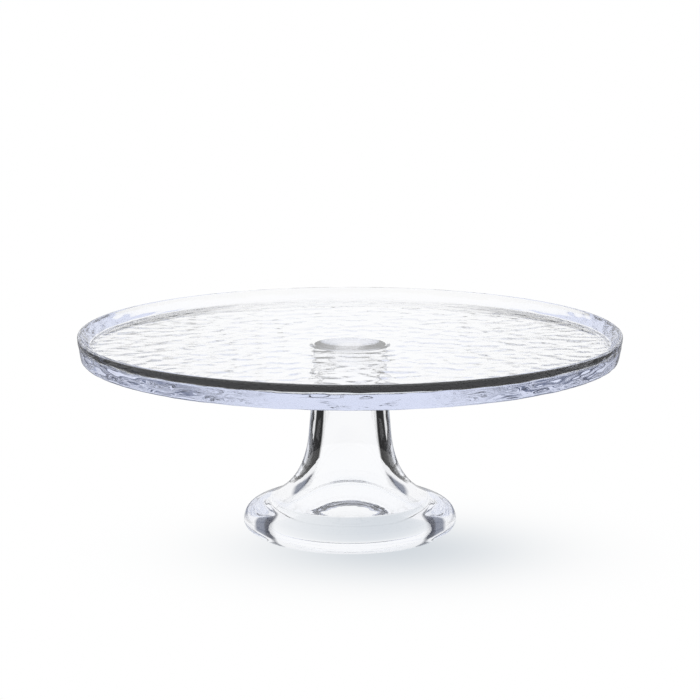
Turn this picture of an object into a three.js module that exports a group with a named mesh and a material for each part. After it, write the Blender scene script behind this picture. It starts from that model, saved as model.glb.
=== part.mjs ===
// Footed glass cake stand: a thick plate with a low rim, bonded to a hollow pressed pedestal.
// Millimetres, +Z up. The origin is the centre of the foot's contact ring, on the table.
import * as THREE from 'three';

// Driving dimensions
const OVERALL_HEIGHT = 113.5;
const PLATE_RADIUS = 150;
const PLATE_UNDERSIDE = 99.5;
const FLOOR_THICKNESS = 8;
const BOND_THICKNESS = 0.25;
const NECK_RADIUS = 20;
const FOOT_RADIUS = 59.3;

// Plate
const BOSS_RADIUS = 21;
const BOSS_STEP = 0.25;
const WALL_LEAN = 2.1;
const CORNER_RADIUS = 1.4;
const LIP_DROP = 1.3;
const CREST_INSET = 1.1;
const LIP_INNER_INSET = 1.9;
const LIP_INNER_DROP = 0.8;
const FLOOR_FLAT_RADIUS = 139.8;

// Pedestal
const WALL = 7.8;
const CAVITY_TOP = 93.5;
const CAVITY_NECK_RADIUS = 13.4;
const CONTACT_INNER_RADIUS = 48.5;
const CONTACT_OUTER_RADIUS = 51.5;

// Facets
const PLATE_SEGMENTS = 96;
const PEDESTAL_SEGMENTS = 72;
const BOND_SEGMENTS = 48;
const CORNER_STEPS = 4;
const SWEEP_STEPS = 8;

const floorTop = PLATE_UNDERSIDE + FLOOR_THICKNESS;
const pedestalTop = PLATE_UNDERSIDE - BOND_THICKNESS;

const pressedGlass = () => new THREE.MeshStandardMaterial({
  color: '#e4e8f0',
  roughness: 0.04,
  metalness: 0,
  transparent: true,
  opacity: 0.35,
});

const curedAdhesive = () => new THREE.MeshStandardMaterial({
  color: '#dfe0e2',
  roughness: 0.15,
  metalness: 0,
  transparent: true,
  opacity: 0.5,
});

// An outline is a list of [radius, height] corners and of curves with a number of steps.
// It runs with the solid on its left, so that the turned faces point outwards.
function turned(outline, segments) {
  const points = [];
  for (const item of outline) {
    const isCorner = Array.isArray(item);
    const run = isCorner ? [new THREE.Vector2(...item)] : item.curve.getPoints(item.steps);
    for (const point of run) {
      const last = points[points.length - 1];
      if (!last || last.distanceTo(point) > 0.01) points.push(point);
    }
  }
  const geometry = new THREE.LatheGeometry(points, segments);
  geometry.rotateX(Math.PI / 2);
  return geometry;
}

function sweep(from, handleA, handleB, to, steps = SWEEP_STEPS) {
  const [a, b, c, d] = [from, handleA, handleB, to].map((p) => new THREE.Vector2(...p));
  return { curve: new THREE.CubicBezierCurve(a, b, c, d), steps };
}

function round(from, corner, to, steps = CORNER_STEPS) {
  const [a, b, c] = [from, corner, to].map((p) => new THREE.Vector2(...p));
  return { curve: new THREE.QuadraticBezierCurve(a, b, c), steps };
}

// Plate: a thick flat floor with a low rim, coved inside and leaning out to a narrow rounded lip.
// The underside is a shallow step above a flat central boss, which is the face that is bonded.
function plate() {
  const field = PLATE_UNDERSIDE + BOSS_STEP;
  const cornerR = PLATE_RADIUS - WALL_LEAN;
  const crest = [PLATE_RADIUS - CREST_INSET, OVERALL_HEIGHT];
  const lipInside = [PLATE_RADIUS - LIP_INNER_INSET, OVERALL_HEIGHT - LIP_INNER_DROP];
  return turned([
    [0, PLATE_UNDERSIDE],
    [BOSS_RADIUS, PLATE_UNDERSIDE],
    [BOSS_RADIUS + 1, field],
    round([cornerR - CORNER_RADIUS, field], [cornerR, field], [cornerR + 0.24, field + CORNER_RADIUS]),
    round([PLATE_RADIUS, OVERALL_HEIGHT - LIP_DROP], [PLATE_RADIUS + 0.1, OVERALL_HEIGHT], crest),
    round(crest, [PLATE_RADIUS - LIP_INNER_INSET + 0.2, OVERALL_HEIGHT], lipInside),
    sweep(lipInside, [145.7, floorTop + 3], [143.6, floorTop], [FLOOR_FLAT_RADIUS, floorTop]),
    [0, floorTop],
  ], PLATE_SEGMENTS);
}

// Adhesive film between the boss and the pedestal's top face.
function bondFilm() {
  const radius = NECK_RADIUS - 0.25;
  return turned([
    [0, pedestalTop],
    [radius, pedestalTop],
    [radius, PLATE_UNDERSIDE],
    [0, PLATE_UNDERSIDE],
  ], BOND_SEGMENTS);
}

// Pedestal: a bell with a domed cavity, a straight neck, a flare and a thick rounded foot rim.
function pedestal() {
  const waist = [NECK_RADIUS + 3.2, 53.5];
  const shoulder = [46, 19.7];
  const brim = [FOOT_RADIUS, 8.5];
  const contact = [CONTACT_OUTER_RADIUS, 0];
  const innerNeck = [CAVITY_NECK_RADIUS, 79.5];
  const innerWaist = [waist[0] - WALL, 51.5];
  const innerShoulder = [41, 15];
  return turned([
    sweep([0, CAVITY_TOP], [7.4, CAVITY_TOP], innerNeck.map((v, i) => v + [0, 8][i]), innerNeck),
    sweep(innerNeck, [13.6, 69.5], [14.2, 59.5], innerWaist, 3),
    sweep(innerWaist, [18.3, 28.5], [29, 19], innerShoulder),
    round([41.6, 14.1], [43.5, 2.5], [CONTACT_INNER_RADIUS, 0]),
    sweep(contact, [55.5, 1.6], [FOOT_RADIUS + 0.6, 4.4], brim, 6),
    sweep(brim, [58.2, 15.6], [53.7, 16.7], shoulder),
    sweep(shoulder, [36, 23.8], [25.8, 32.5], waist),
    sweep(waist, [21.9, 66.5], [20.7, 82.5], [NECK_RADIUS, pedestalTop], 5),
    [0, pedestalTop],
  ], PEDESTAL_SEGMENTS);
}

function piece(name, geometry, material) {
  const mesh = new THREE.Mesh(geometry, material);
  mesh.name = name;
  return mesh;
}

const cakeStand = new THREE.Group();
cakeStand.add(
  piece('plate', plate(), pressedGlass()),
  piece('bond_film', bondFilm(), curedAdhesive()),
  piece('pedestal', pedestal(), pressedGlass()),
);

export default cakeStand;
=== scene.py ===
"""Clear pressed-glass cake stand: fine meshes, glass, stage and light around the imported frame."""
import math

import bmesh
import bpy
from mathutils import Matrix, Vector, noise


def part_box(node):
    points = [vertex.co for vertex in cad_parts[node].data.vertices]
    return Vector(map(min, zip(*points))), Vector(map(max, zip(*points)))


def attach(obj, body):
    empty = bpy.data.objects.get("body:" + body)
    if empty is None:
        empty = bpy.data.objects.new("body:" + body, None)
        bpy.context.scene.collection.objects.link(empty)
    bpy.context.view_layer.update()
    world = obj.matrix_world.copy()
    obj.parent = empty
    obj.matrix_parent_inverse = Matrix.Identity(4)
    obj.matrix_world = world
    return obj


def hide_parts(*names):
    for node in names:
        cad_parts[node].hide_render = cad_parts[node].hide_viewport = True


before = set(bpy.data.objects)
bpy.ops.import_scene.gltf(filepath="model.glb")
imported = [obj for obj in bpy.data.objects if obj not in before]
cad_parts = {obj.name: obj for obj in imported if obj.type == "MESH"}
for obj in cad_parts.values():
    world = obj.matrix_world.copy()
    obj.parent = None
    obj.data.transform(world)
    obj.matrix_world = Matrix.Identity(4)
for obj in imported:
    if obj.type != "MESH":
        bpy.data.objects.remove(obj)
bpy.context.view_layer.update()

MM = 0.001

# ---------------------------------------------------------------- camera


SENSOR_WIDTH = 36.0
LENS = 139.7
CAMERA_PLACE = (0.0, -1.4757, 0.3822)
CAMERA_PITCH = math.radians(90.0 - 10.72)
CLIP_END = 50.0


def add_camera():
    data = bpy.data.cameras.new("camera")
    data.sensor_width = SENSOR_WIDTH
    data.lens = LENS
    data.clip_end = CLIP_END
    camera = bpy.data.objects.new("camera", data)
    bpy.context.scene.collection.objects.link(camera)
    camera.location = CAMERA_PLACE
    camera.rotation_euler = (CAMERA_PITCH, 0.0, 0.0)
    bpy.context.scene.camera = camera


# ---------------------------------------------------------------- outlines

ON_AXIS = 1e-6
CORNER_TURN = math.radians(33.0)
LONG_TO_SHORT = 3.0
LEAST_AGREEMENT = 0.3
EDGE_ROUNDING = 0.4 * MM


def section(node):
    """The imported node's outline as (radius, height), from its lower point on the axis.

    It is walked along the node's vertices in the half plane y = 0, x > 0.
    """
    bm = bmesh.new()
    bm.from_mesh(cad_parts[node].data)
    bmesh.ops.remove_doubles(bm, verts=bm.verts, dist=1e-6)
    in_plane = [v for v in bm.verts if abs(v.co.y) < ON_AXIS and v.co.x > -ON_AXIS]
    chosen = set(in_plane)
    here = min((v for v in in_plane if v.co.x < ON_AXIS), key=lambda v: v.co.z)
    chain, before = [here], None
    while True:
        steps = [e.other_vert(here) for e in here.link_edges]
        steps = [v for v in steps if v in chosen and v is not before and v not in chain]
        if not steps:
            break
        before, here = here, steps[0]
        chain.append(here)
    points = [Vector((max(v.co.x, 0.0), v.co.z)) for v in chain]
    bm.free()
    return points


def turn_at(points, i):
    back, ahead = points[i] - points[i - 1], points[i + 1] - points[i]
    return back.angle(ahead)


def tangents(points):
    """A unit direction at each point: along the longer side where a straight meets a curve."""
    found = []
    for i, p in enumerate(points):
        if i in (0, len(points) - 1):
            found.append(None)
            continue
        back, ahead = p - points[i - 1], points[i + 1] - p
        if back.length > LONG_TO_SHORT * ahead.length:
            found.append(back.normalized())
        elif ahead.length > LONG_TO_SHORT * back.length:
            found.append(ahead.normalized())
        else:
            mean = back.normalized() * ahead.length + ahead.normalized() * back.length
            found.append(mean.normalized())
    for end, inner in ((0, 1), (-1, -2)):
        chord = (points[inner] - points[end]).normalized()
        if end == -1:
            chord = -chord
        mate = found[inner]
        if mate and chord.dot(mate) > LEAST_AGREEMENT:
            found[end] = 2 * chord.dot(mate) * chord - mate
        else:
            found[end] = chord
    return found


def hermite(a, b, ta, tb, t):
    span = (b - a).length
    t2, t3 = t * t, t * t * t
    return (
        a * (2 * t3 - 3 * t2 + 1)
        + ta * span * (t3 - 2 * t2 + t)
        + b * (3 * t2 - 2 * t3)
        + tb * span * (t3 - t2)
    )


def smoothed(points, step):
    """A finer outline through the same points, rounded a little at its true corners."""
    corners = [i for i in range(1, len(points) - 1) if turn_at(points, i) > CORNER_TURN]
    fine = []
    for start, end in zip([0] + corners, corners + [len(points) - 1]):
        run = points[start : end + 1]
        directions = tangents(run) if len(run) > 2 else [(run[1] - run[0]).normalized()] * 2
        if start == 0 and run[0].x < ON_AXIS:
            directions[0] = Vector((1.0, 0.0))
        for k in range(len(run) - 1):
            a, b = run[k], run[k + 1]
            count = max(1, math.ceil((b - a).length / step))
            fine += [hermite(a, b, directions[k], directions[k + 1], n / count) for n in range(count)]
        fine.append(run[-1])
    return rounded(dedupe(fine), [points[i] for i in corners])


def dedupe(points):
    kept = [points[0]]
    for p in points[1:]:
        if (p - kept[-1]).length > 1e-7:
            kept.append(p)
    return kept


def rounded(points, corners):
    """Swaps what lies within EDGE_ROUNDING of each corner for a small curve."""
    for corner in corners:
        near = [i for i, p in enumerate(points) if (p - corner).length < EDGE_ROUNDING]
        first, last = near[0], near[-1]
        a = corner + (points[first - 1] - corner).normalized() * EDGE_ROUNDING
        b = corner + (points[last + 1] - corner).normalized() * EDGE_ROUNDING
        arc = [a.lerp(corner, t).lerp(corner.lerp(b, t), t) for t in (0.0, 0.25, 0.5, 0.75, 1.0)]
        points = points[:first] + arc + points[last + 1 :]
    return points


# ---------------------------------------------------------------- turned meshes


def turned(name, outline, counts, shift=None):
    """Revolves an outline. counts is each ring's number of points: its neighbour's, or twice or half it."""
    bm = bmesh.new()
    rings = []
    for p, count in zip(outline, counts):
        if p.x < ON_AXIS:
            rings.append([bm.verts.new((0.0, 0.0, p.y))])
            continue
        ring = []
        for k in range(count):
            a = 2 * math.pi * k / count
            co = Vector((p.x * math.cos(a), p.x * math.sin(a), p.y))
            ring.append(bm.verts.new(co))
        rings.append(ring)
    for lower, upper in zip(rings, rings[1:]):
        bridge(bm, lower, upper)
    if shift:
        bm.normal_update()
        moves = [(v, shift(v.co, v.normal)) for v in bm.verts]
        for v, move in moves:
            v.co += move
    bm.normal_update()
    mesh = bpy.data.meshes.new(name)
    bm.to_mesh(mesh)
    bm.free()
    mesh.shade_smooth()
    piece = bpy.data.objects.new(name, mesh)
    bpy.context.scene.collection.objects.link(piece)
    return piece


def bridge(bm, lower, upper):
    """Faces between two rings, wound so that they look away from the solid on the outline's left."""
    n, m = len(lower), len(upper)
    if n == 1:
        for k in range(m):
            bm.faces.new((lower[0], upper[(k + 1) % m], upper[k]))
    elif m == 1:
        for k in range(n):
            bm.faces.new((lower[k], lower[(k + 1) % n], upper[0]))
    elif n == m:
        for k in range(n):
            j = (k + 1) % n
            bm.faces.new((lower[k], lower[j], upper[j], upper[k]))
    elif m == 2 * n:
        for k in range(n):
            j = (k + 1) % n
            a, b, c = upper[2 * k], upper[2 * k + 1], upper[(2 * k + 2) % m]
            bm.faces.new((lower[k], b, a))
            bm.faces.new((lower[k], lower[j], b))
            bm.faces.new((lower[j], c, b))
    else:
        for k in range(m):
            j = (k + 1) % m
            a, b, c = lower[2 * k], lower[2 * k + 1], lower[(2 * k + 2) % n]
            bm.faces.new((a, b, upper[k]))
            bm.faces.new((b, upper[j], upper[k]))
            bm.faces.new((b, c, upper[j]))


def ring_counts(outline, pitch, least, most):
    """Points per ring: least times a power of two, close to the pitch, changing by one doubling at a time."""
    wanted = []
    for p in outline:
        count = least
        while count < most and 2 * math.pi * p.x / count > 1.4 * pitch:
            count *= 2
        wanted.append(count)
    for order in (range(1, len(wanted)), range(len(wanted) - 2, -1, -1)):
        for i in order:
            near = wanted[i - 1] if order.step > 0 else wanted[i + 1]
            wanted[i] = max(wanted[i], near // 2)
    return wanted


# ---------------------------------------------------------------- pieces


# The ripple is pressed into the underside, outside the smooth boss, and into the outer wall.
RIPPLE_LENGTH = 8.0 * MM
RIPPLE_DEPTH = 0.12 * MM
BROAD_SHARE = 1.6
FINE_SHARE = 0.55
FINE_SCALE = 2.1
FINE_OFFSET = Vector((3.7, 8.2, 0.4))
DRIFT_SHARE = 0.55
DRIFT_SCALE = 0.45
DRIFT_OFFSET = Vector((7.3, 1.9, 4.1))
SMOOTH_RADIUS = 22.5 * MM
RIPPLE_FADE = 4.0 * MM

WALL_RIPPLE_HEIGHT = 1.7 * MM
WALL_RIPPLE_LENGTH = 11.0 * MM
WALL_RIPPLE_DEPTH = 0.24 * MM
WALL_RIPPLE_SHARE = 1.5
WALL_RIPPLE_LAYER = 2.5
WALL_TURN_RADIUS = 150.0 * MM
WALL_FROM = 146.0 * MM
LIP_LEVEL = 14.0 * MM
LIP_CLEARANCE = 1.2 * MM
LIP_FADE = 2.0 * MM
SEAM_START = math.pi * 0.97
SEAM_BLEND = math.pi * 0.03

PLATE_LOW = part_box("plate")[0].z


def fade(value, start, span):
    """0 up to start and 1 from start + span, eased between them."""
    t = min(max((value - start) / span, 0.0), 1.0)
    return t * t * (3.0 - 2.0 * t)


def hammered(co):
    """Rounded dimples with softer ridges, as left by a hand-cut mould."""
    at = Vector((co.x, co.y, 0.0)) / RIPPLE_LENGTH
    at = at + noise.noise_vector(at * DRIFT_SCALE + DRIFT_OFFSET) * DRIFT_SHARE
    broad = noise.noise(at)
    fine = noise.noise(at * FINE_SCALE + FINE_OFFSET)
    return BROAD_SHARE * broad + FINE_SHARE * fine


def ridged(co):
    """Short ridges that run round the outer wall, blended into themselves where the turn closes."""
    angle = math.atan2(co.y, co.x)
    around = angle * math.hypot(co.x, co.y) / WALL_RIPPLE_LENGTH
    whole_turn = WALL_TURN_RADIUS * 2.0 * math.pi / WALL_RIPPLE_LENGTH
    height = co.z / WALL_RIPPLE_HEIGHT
    first = noise.noise(Vector((around, height, WALL_RIPPLE_LAYER)))
    second = noise.noise(Vector((around - whole_turn, height, WALL_RIPPLE_LAYER)))
    blend = fade(angle, SEAM_START, SEAM_BLEND)
    return WALL_RIPPLE_SHARE * (first + (second - first) * blend)


def underside_share(normal, radius):
    return fade(-normal.z, 0.3, 0.5) * fade(radius, SMOOTH_RADIUS, RIPPLE_FADE)


def outer_wall_share(co, normal, radius):
    if radius <= WALL_FROM or co.x * normal.x + co.y * normal.y <= 0.0:
        return 0.0
    below_lip = fade(LIP_LEVEL - (co.z - PLATE_LOW), LIP_CLEARANCE, LIP_FADE)
    return fade(0.8 - abs(normal.z), 0.2, 0.4) * below_lip


def plate_ripple(co, normal):
    radius = math.hypot(co.x, co.y)
    bottom = underside_share(normal, radius) * RIPPLE_DEPTH * hammered(co)
    side = outer_wall_share(co, normal, radius) * WALL_RIPPLE_DEPTH * ridged(co)
    return normal * (bottom + side)


PLATE_STEP = 1.5 * MM
PLATE_PITCH = 1.3 * MM
PLATE_FEWEST = 24
PLATE_MOST = 768
PEDESTAL_STEP = 1.0 * MM
PEDESTAL_COUNT = 192
FILM_BULGE = 0.06 * MM
# The film reaches this far into both glass pieces, so that light passes without a gap of air.
OVERLAP = 0.02 * MM


def make_plate():
    outline = smoothed(section("plate"), PLATE_STEP)
    counts = ring_counts(outline, PLATE_PITCH, PLATE_FEWEST, PLATE_MOST)
    return turned("glass_plate", outline, counts, plate_ripple)


def make_pedestal():
    outline = smoothed(section("pedestal"), PEDESTAL_STEP)
    outline = [Vector((p.x, max(p.y, 0.0))) for p in outline]
    return turned("glass_pedestal", outline, [PEDESTAL_COUNT] * len(outline))


def make_film():
    low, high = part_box("bond_film")
    bottom, top = low.z - OVERLAP, high.z + OVERLAP
    edge = high.x - FILM_BULGE
    outline = [
        Vector((0.0, bottom)),
        Vector((edge, bottom)),
        Vector((high.x, (bottom + top) / 2)),
        Vector((edge, top)),
        Vector((0.0, top)),
    ]
    return turned("adhesive_film", outline, [PEDESTAL_COUNT] * len(outline))


# ---------------------------------------------------------------- materials


IOR = 1.52
BUMP_STRENGTH = 0.5
ABSORPTION = (0.73, 0.79, 0.99, 1.0)
PLATE_DENSITY = 3.4
PEDESTAL_DENSITY = 2.5


def noise_map(nt, scale, detail, low, high):
    """A noise in object coordinates (metres), mapped to low..high."""
    coords = nt.nodes.new("ShaderNodeTexCoord")
    tex = nt.nodes.new("ShaderNodeTexNoise")
    tex.inputs["Scale"].default_value = scale
    tex.inputs["Detail"].default_value = detail
    span = nt.nodes.new("ShaderNodeMapRange")
    span.inputs["From Min"].default_value = 0.3
    span.inputs["From Max"].default_value = 0.7
    span.inputs["To Min"].default_value = low
    span.inputs["To Max"].default_value = high
    nt.links.new(coords.outputs["Object"], tex.inputs["Vector"])
    nt.links.new(tex.outputs["Fac"], span.inputs["Value"])
    return span.outputs["Result"]


def clear_material(name, pale, tinted, rough, wave_scale, wave_height):
    """Clear dielectric with a faint drift of colour, patches of handling haze and fire-polish waves."""
    mat = bpy.data.materials.new(name)
    mat.use_nodes = True
    nt = mat.node_tree
    bsdf = nt.nodes["Principled BSDF"]
    bsdf.inputs["IOR"].default_value = IOR
    bsdf.inputs["Transmission Weight"].default_value = 1.0
    tint = nt.nodes.new("ShaderNodeMix")
    tint.data_type = "RGBA"
    tint.inputs["A"].default_value = pale
    tint.inputs["B"].default_value = tinted
    nt.links.new(noise_map(nt, 25.0, 2.0, 0.0, 1.0), tint.inputs["Factor"])
    nt.links.new(tint.outputs["Result"], bsdf.inputs["Base Color"])
    nt.links.new(noise_map(nt, 60.0, 4.0, 0.0, rough), bsdf.inputs["Roughness"])
    bump = nt.nodes.new("ShaderNodeBump")
    bump.inputs["Strength"].default_value = BUMP_STRENGTH
    bump.inputs["Distance"].default_value = wave_height
    nt.links.new(noise_map(nt, wave_scale, 2.0, 0.0, 1.0), bump.inputs["Height"])
    nt.links.new(bump.outputs["Normal"], bsdf.inputs["Normal"])
    return mat


def glass_material(name, density):
    mat = clear_material(
        name, (1.0, 1.0, 1.0, 1.0), (0.985, 0.99, 1.0, 1.0), 0.03, 140.0, 0.02 * MM
    )
    nt = mat.node_tree
    volume = nt.nodes.new("ShaderNodeVolumeAbsorption")
    volume.inputs["Color"].default_value = ABSORPTION
    volume.inputs["Density"].default_value = density
    nt.links.new(volume.outputs[0], nt.nodes["Material Output"].inputs["Volume"])
    return mat


def film_material():
    return clear_material(
        "cured_adhesive", (0.93, 0.93, 0.94, 1.0), (0.86, 0.86, 0.88, 1.0), 0.06, 400.0, 0.01 * MM
    )


def place(piece, node, material, slot):
    piece.data.materials.append(material)
    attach(piece, "root")
    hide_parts(node)


# ---------------------------------------------------------------- stage and light


def math_node(nt, operation, a, b=None):
    node = nt.nodes.new("ShaderNodeMath")
    node.operation = operation
    for socket, value in zip(node.inputs, (a, b)):
        if value is None:
            continue
        if isinstance(value, (int, float)):
            socket.default_value = value
        else:
            nt.links.new(value, socket)
    return node.outputs[0]


def ramp(nt, factor, stops):
    node = nt.nodes.new("ShaderNodeValToRGB")
    elements = node.color_ramp.elements
    elements.remove(elements[1])
    elements[0].position = stops[0][0]
    elements[0].color = grey_or_colour(stops[0][1])
    for position, level in stops[1:]:
        elements.new(position).color = grey_or_colour(level)
    nt.links.new(factor, node.inputs["Fac"])
    return node.outputs["Color"]


def grey_or_colour(level):
    return (*level, 1.0) if isinstance(level, tuple) else (level, level, level, 1.0)


def reflected_light(nt, most_surfaces):
    """Factors for light reflected inside the glass, and on its outside, and the light path node."""
    path = nt.nodes.new("ShaderNodeLightPath")
    reflected = math_node(nt, "GREATER_THAN", path.outputs["Glossy Depth"], 0.5)
    entered = math_node(nt, "GREATER_THAN", path.outputs["Transmission Depth"], 0.5)
    simple = math_node(nt, "LESS_THAN", path.outputs["Transmission Depth"], most_surfaces + 0.5)
    inner = math_node(nt, "MULTIPLY", math_node(nt, "MULTIPLY", reflected, entered), simple)
    outer = math_node(nt, "MULTIPLY", reflected, math_node(nt, "SUBTRACT", 1.0, entered))
    return inner, outer, path


def azimuth(nt, vector):
    """0 towards +Y, 0.5 across and 1 towards -Y, the same on both sides."""
    parts = nt.nodes.new("ShaderNodeSeparateXYZ")
    nt.links.new(vector, parts.inputs[0])
    angle = math_node(nt, "ARCTAN2", parts.outputs["X"], parts.outputs["Y"])
    return math_node(nt, "DIVIDE", math_node(nt, "ABSOLUTE", angle), math.pi), parts


def mixed(nt, factor, a, b):
    node = nt.nodes.new("ShaderNodeMix")
    node.data_type = "RGBA"
    for key, value in (("Factor", factor), ("A", a), ("B", b)):
        if isinstance(value, (int, float, tuple)):
            node.inputs[key].default_value = value
        else:
            nt.links.new(value, node.inputs[key])
    return node.outputs["Result"]


WHITE = (1.0, 1.0, 1.0, 1.0)
SLATE = (0.045, 0.05, 0.075)
PALE_SLATE = (0.17, 0.19, 0.25)
FLOOR_SIZE = 40.0
FLOOR_DROP = 0.2 * MM

# The glowing floor is white to all light but what the glass has reflected and sent more than NEAR_TABLE away.
NEAR_TABLE = 85.0 * MM
# The next two colours are painted shade on the glowing floor, which only light that the glass has reflected
# sees.
TABLE_SHADE = (0.3, 0.3, 0.31, 1.0)
STAND_SHADE = (0.008, 0.008, 0.009, 1.0)
# Beyond SWEEP_START the table's level, painted shade for light that the glass has reflected, depends on the
# azimuth: 0 towards +Y and 1 towards -Y.
SWEEP_START = 240.0 * MM
SWEEP_SECTOR = ((0.0, 0.95), (0.05, 0.9), (0.085, 0.012), (0.34, 0.012), (0.38, 0.9), (1.0, 1.0))
FLOOR_SURFACES = 4
ONE_PIECE = 2.5

SHADOW_CENTRE = (22.0 * MM, -40.0 * MM)
SHADOW_SPREAD = (75.0 * MM, 62.0 * MM)
SHADOW_COLOUR = (0.66, 0.70, 0.74, 1.0)

# Slate panels stand around the stand for light reflected inside one piece of glass.
AROUND = (
    (0.0, 0.95), (0.1, 0.95), (0.15, PALE_SLATE), (0.24, PALE_SLATE), (0.27, SLATE),
    (0.335, SLATE), (0.38, 0.95), (1.0, 0.95),
)
SIDE_PANELS = ((0.0, 0.0), (0.12, 0.0), (0.2, 1.0), (0.5, 1.0), (0.65, 0.0), (1.0, 0.0))
OFF_WHITE = (0.93, 0.93, 0.94, 1.0)
WORLD_SURFACES = 2


def shadow(nt, parts):
    """A soft oval patch painted on the table, 1 at its middle."""
    squares = []
    for axis, centre, spread in zip("XY", SHADOW_CENTRE, SHADOW_SPREAD):
        from_centre = math_node(nt, "SUBTRACT", parts.outputs[axis], centre)
        share = math_node(nt, "DIVIDE", from_centre, spread)
        squares.append(math_node(nt, "MULTIPLY", share, share))
    square = math_node(nt, "ADD", *squares)
    return math_node(nt, "EXPONENT", math_node(nt, "MULTIPLY", square, -1.0))


def table_for_inner_light(nt, place, turn, path):
    """What light reflected inside the glass finds: painted shade near the stand, and painted dark sectors
    from SWEEP_START on.
    """
    one_piece = math_node(nt, "LESS_THAN", path.outputs["Transmission Depth"], ONE_PIECE)
    near_stand = mixed(nt, one_piece, WHITE, STAND_SHADE)
    reach = nt.nodes.new("ShaderNodeVectorMath")
    reach.operation = "LENGTH"
    nt.links.new(place, reach.inputs[0])
    distant = math_node(nt, "GREATER_THAN", reach.outputs["Value"], SWEEP_START)
    return mixed(nt, distant, near_stand, ramp(nt, turn, SWEEP_SECTOR))


def floor_material():
    mat = bpy.data.materials.new("floor")
    mat.use_nodes = True
    nt = mat.node_tree
    nt.nodes.clear()
    out = nt.nodes.new("ShaderNodeOutputMaterial")
    emit = nt.nodes.new("ShaderNodeEmission")
    place = nt.nodes.new("ShaderNodeTexCoord").outputs["Object"]
    inner, outer, path = reflected_light(nt, FLOOR_SURFACES)
    turn, parts = azimuth(nt, place)
    table = mixed(nt, shadow(nt, parts), WHITE, SHADOW_COLOUR)
    dark = table_for_inner_light(nt, place, turn, path)
    far = math_node(nt, "GREATER_THAN", path.outputs["Ray Length"], NEAR_TABLE)
    seen = mixed(nt, math_node(nt, "MULTIPLY", outer, far), table, TABLE_SHADE)
    colour = mixed(nt, math_node(nt, "MULTIPLY", inner, far), seen, dark)
    nt.links.new(colour, emit.inputs["Color"])
    nt.links.new(emit.outputs[0], out.inputs["Surface"])
    return mat


def add_stage():
    bpy.ops.mesh.primitive_plane_add(size=FLOOR_SIZE, location=(0, 0, -FLOOR_DROP))
    floor = bpy.context.object
    floor.name = "floor"
    floor.data.materials.append(floor_material())


def add_world():
    world = bpy.data.worlds.new("studio")
    bpy.context.scene.world = world
    world.use_nodes = True
    nt = world.node_tree
    direction = nt.nodes.new("ShaderNodeTexCoord").outputs["Generated"]
    inner, _, _ = reflected_light(nt, WORLD_SURFACES)
    turn, parts = azimuth(nt, direction)
    panels = ramp(nt, parts.outputs["Z"], SIDE_PANELS)
    dark = mixed(nt, panels, OFF_WHITE, ramp(nt, turn, AROUND))
    nt.links.new(mixed(nt, inner, WHITE, dark), nt.nodes["Background"].inputs["Color"])
    world.cycles.sampling_method = "NONE"


# ---------------------------------------------------------------- build

BOUNCES = 32

scene = bpy.context.scene
scene.view_settings.view_transform = "Standard"
scene.cycles.max_bounces = BOUNCES
scene.cycles.transmission_bounces = BOUNCES
scene.cycles.glossy_bounces = BOUNCES
scene.cycles.transparent_max_bounces = BOUNCES

add_camera()
plate = make_plate()
pedestal = make_pedestal()
film = make_film()
place(plate, "plate", glass_material("plate_glass", PLATE_DENSITY), "glass")
place(pedestal, "pedestal", glass_material("pedestal_glass", PEDESTAL_DENSITY), "glass")
place(film, "bond_film", film_material(), "adhesive")
add_stage()
add_world()
